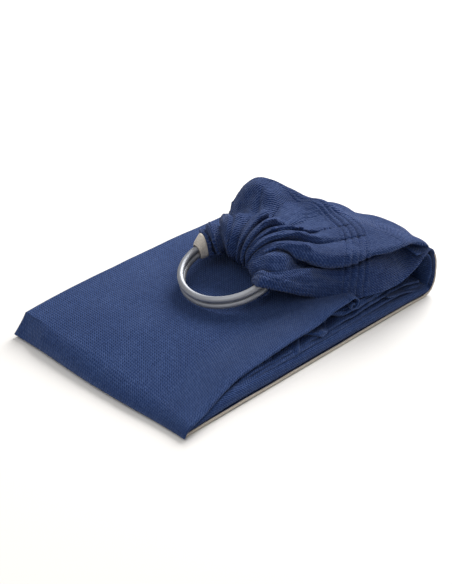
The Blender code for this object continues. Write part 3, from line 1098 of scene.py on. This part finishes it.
def stitch_faces(first):
    """The faces of one stitch, whose points are numbered from first."""
    faces = []
    for step in range(THREAD_STEPS):
        ring = first + step * THREAD_SIDES
        for q in range(THREAD_SIDES):
            a = ring + q
            b = ring + (q + 1) % THREAD_SIDES
            faces.append((a, b, b + THREAD_SIDES, a + THREAD_SIDES))
    last = first + THREAD_STEPS * THREAD_SIDES
    faces.append(tuple(first + q for q in reversed(range(THREAD_SIDES))))
    faces.append(tuple(last + q for q in range(THREAD_SIDES)))
    return faces


def stitch_row(grid, number):
    """One row of sewing across the shoulder: small stitches of navy thread, ends sunk in the cloth."""
    path, lifts = sewing_line(grid, STITCH_FIRST_RADIUS + STITCH_SPACING * number)
    length = lengths_along(path)
    points, faces = [], []
    for begin in np.arange(STITCH_STAGGER * number, length[-1] - STITCH_PITCH, STITCH_PITCH):
        faces += stitch_faces(len(points))
        points += stitch_points(length, path, lifts, begin)
    made = mesh_object(f"stitch_row_{number + 1}", np.array(points), faces)
    made.data.materials.append(THREAD)
    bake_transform(made)
    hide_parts(f"shoulder_stitch_row_{number + 1}")


def gather_cloth():
    """The turn and the gather: two meshes that share a row."""
    grid = main_cloth()
    wrinkle = roughen(grid, size=0.030, depth=0.0012, seed=11)
    wrinkle = wrinkle + roughen(grid, size=0.012, depth=0.0006, seed=12)
    grid = grid + surface_normals(grid) * wrinkle[..., None]
    weave = pleat_weave(grid)
    turn = cloth_mesh("turn_cloth", grid[: ROWS_TURN + 1], GATHER_THICKNESS)
    turn.data.materials.append(NAVY_GATHERED)
    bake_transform(turn)
    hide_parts("right_fold_outer_ply")
    gather = cloth_mesh("gather_cloth", grid[ROWS_TURN:], GATHER_THICKNESS, weave=weave[ROWS_TURN:])
    gather.data.materials.append(NAVY_GATHERED)
    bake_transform(gather)
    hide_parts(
        "shoulder_panel", "front_flap", "front_pleat", "middle_pleat_front", "middle_pleat_back",
        "hump_lobe", "back_flap", "ring_sleeve", "neck_fold_front", "neck_fold_back",
    )
    for number in range(STITCH_ROWS):
        stitch_row(grid, number)


# ------------------------------------------------------------------ the rings and their band


def ring_band():
    """The cream tape that binds the end of the gather, round both rings."""
    steps, around = 30, 56
    grid = np.empty((steps, around, 3))
    for i in range(steps):
        t = i / (steps - 1)
        angle = mix(73.0, 86.0, t)
        rounded_ends = 1.0 - 0.16 * (2.0 * abs(t - 0.5)) ** 5
        half_width = mix(6.8, 5.0, t) * rounded_ends
        half_height = mix(13.4, 9.0, t) * rounded_ends
        middle = mix(3.4, 0.2, t)
        for j in range(around):
            cosine, sine = squared_circle(2.0 * math.pi * j / around, 0.85)
            out = np.array(half_width * cosine)
            up = np.array(middle + half_height * sine)
            grid[i, j] = ring_point(np.array(angle), out, up)
    grid += closed_normals(grid) * roughen(grid, size=0.010, depth=0.0004, seed=51)[..., None]
    made = closed_tube_mesh("ring_band", grid)
    # The band's cream is painted lighter than the other tape's: painted light against the gather's shade.
    add_piece(made, "ring_gather", CREAM_BAND_PAINTED_LIGHT, ("sleeve_binding",))


def finished_ring(name):
    """A ring of round wire, finer than the CAD ring that it stands for."""
    low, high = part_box(name)
    centre = (low + high) / 2.0
    bpy.ops.mesh.primitive_torus_add(
        major_segments=160,
        minor_segments=40,
        major_radius=RING_MIDDLE_RADIUS,
        minor_radius=RING_WIRE_RADIUS,
    )
    ring = bpy.context.active_object
    ring.name = name.replace("ring_", "") + "_ring"
    turned = RING_AXIS.to_track_quat("Z", "Y").to_matrix().to_4x4()
    ring.matrix_world = Matrix.Translation(centre) @ turned
    ring.data.shade_smooth()
    add_piece(ring, name, ALUMINIUM, (name,))


# ------------------------------------------------------------------ the studio and the camera


def build_floor():
    bpy.ops.mesh.primitive_plane_add(size=8.0, location=(0.0, 0.0, 0.0))
    floor = bpy.context.active_object
    floor.name = "studio_floor"
    floor.data.materials.append(floor_material())


def light(name, location, size, power):
    """A round area light that points at the middle of the bundle."""
    data = bpy.data.lights.new(name, "AREA")
    data.shape = "DISK"
    data.size = size
    data.energy = power
    lamp = bpy.data.objects.new(name, data)
    lamp.location = location
    lamp.rotation_euler = (-Vector(location)).to_track_quat("-Z", "Y").to_euler()
    bpy.context.scene.collection.objects.link(lamp)


def build_studio():
    """A pale room, a strong light over the right end and a weak one over the left."""
    world = bpy.data.worlds.new("studio")
    world.use_nodes = True
    background = world.node_tree.nodes["Background"]
    background.inputs["Color"].default_value = (1.0, 0.985, 0.965, 1.0)
    background.inputs["Strength"].default_value = 0.38
    bpy.context.scene.world = world
    light("key", (1.36, 0.32, 1.08), size=1.3, power=49.0)
    light("fill", (-0.95, -0.25, 1.45), size=1.5, power=9.0)
    bpy.context.scene.view_settings.view_transform = "Standard"


def build_camera():
    """The camera stands off the bundle's front left corner, 30 degrees above the floor."""
    elevation = math.radians(30.21)
    azimuth = math.radians(-44.89)
    distance = 1.0911
    target = Vector((0.0221, 0.0294, 0.0))
    level = math.cos(elevation)
    back = Vector((math.sin(azimuth) * level, -math.cos(azimuth) * level, math.sin(elevation)))
    data = bpy.data.cameras.new("camera")
    data.lens = 73.97
    data.sensor_width = 36.0
    camera = bpy.data.objects.new("camera", data)
    camera.location = target + back * distance
    camera.rotation_mode = "QUATERNION"
    camera.rotation_quaternion = back.to_track_quat("Z", "Y")
    bpy.context.scene.collection.objects.link(camera)
    bpy.context.scene.camera = camera


build_floor()
build_studio()
build_camera()
top_cloth()
bottom_cloth()
inner_cloth()
turn_lining()
front_binding()
inner_binding()
gather_cloth()
ring_band()
finished_ring("ring_upper")
finished_ring("ring_lower")
